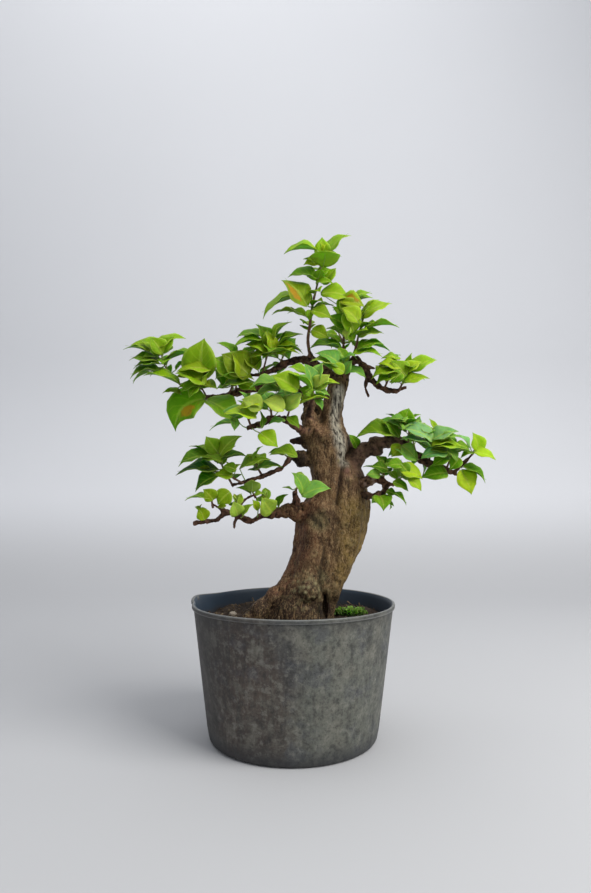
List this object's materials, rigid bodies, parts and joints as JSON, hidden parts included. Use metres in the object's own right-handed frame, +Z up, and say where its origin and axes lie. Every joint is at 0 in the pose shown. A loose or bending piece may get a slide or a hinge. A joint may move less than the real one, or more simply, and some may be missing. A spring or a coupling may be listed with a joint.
{
  "type": "bougainvillea bonsai in a nursery pot",
  "caption": "Bonsai with a thick leaning trunk, short woody arms and flat shelves of pointed green leaves, in a round tapered plastic pot filled with soil.",
  "frame": {"origin": "middle of the pot's flat underside", "axes": "+Z up the tree, -Y towards the front that shows the trunk's best side, +X to the right seen from the front"},
  "size_m": [0.3704, 0.2, 0.5006],
  "materials": {
    "pot": "satin",
    "soil": "matte",
    "bark": "matte",
    "leaf": "satin",
    "weed": "satin",
    "stone": "matte"
  },
  "bodies": {
    "root": {"pot": "pot", "soil": "soil", "trunk_and_arms": "bark", "stone_brown": "stone", "stone_pale": "stone", "weeds": "weed", "spray_leader": "leaf", "spray_crown_right": "leaf", "spray_crown_fork": "leaf", "spray_crown_heart": "leaf", "spray_shelf_right_in": "leaf", "spray_shelf_right_out": "leaf", "spray_shelf_left_end": "leaf", "spray_shelf_left_big": "leaf", "spray_shelf_left_mid": "leaf", "spray_shelf_left_in": "leaf", "spray_shelf_back": "leaf", "spray_front_left": "leaf", "spray_front_mid": "leaf", "spray_front_right": "leaf", "spray_front_heart": "leaf", "spray_arm_left_low": "leaf", "spray_arm_left_top": "leaf", "spray_arm_left_in": "leaf", "spray_arm_left_knob": "leaf", "spray_low_tip": "leaf", "spray_low_left": "leaf", "spray_low_mid": "leaf", "spray_low_right": "leaf", "spray_low_in": "leaf", "spray_low_heart": "leaf", "spray_right_in": "leaf", "spray_right_top": "leaf", "spray_right_mid": "leaf", "spray_right_far": "leaf", "spray_right_end": "leaf", "spray_right_under": "leaf", "spray_loop_left": "leaf", "spray_loop_right": "leaf", "spray_loop_low": "leaf", "spray_back_arm": "leaf", "spray_crown_back": "leaf", "spray_shelf_left_back": "leaf", "spray_right_back": "leaf"}
  },
  "joints": []
}
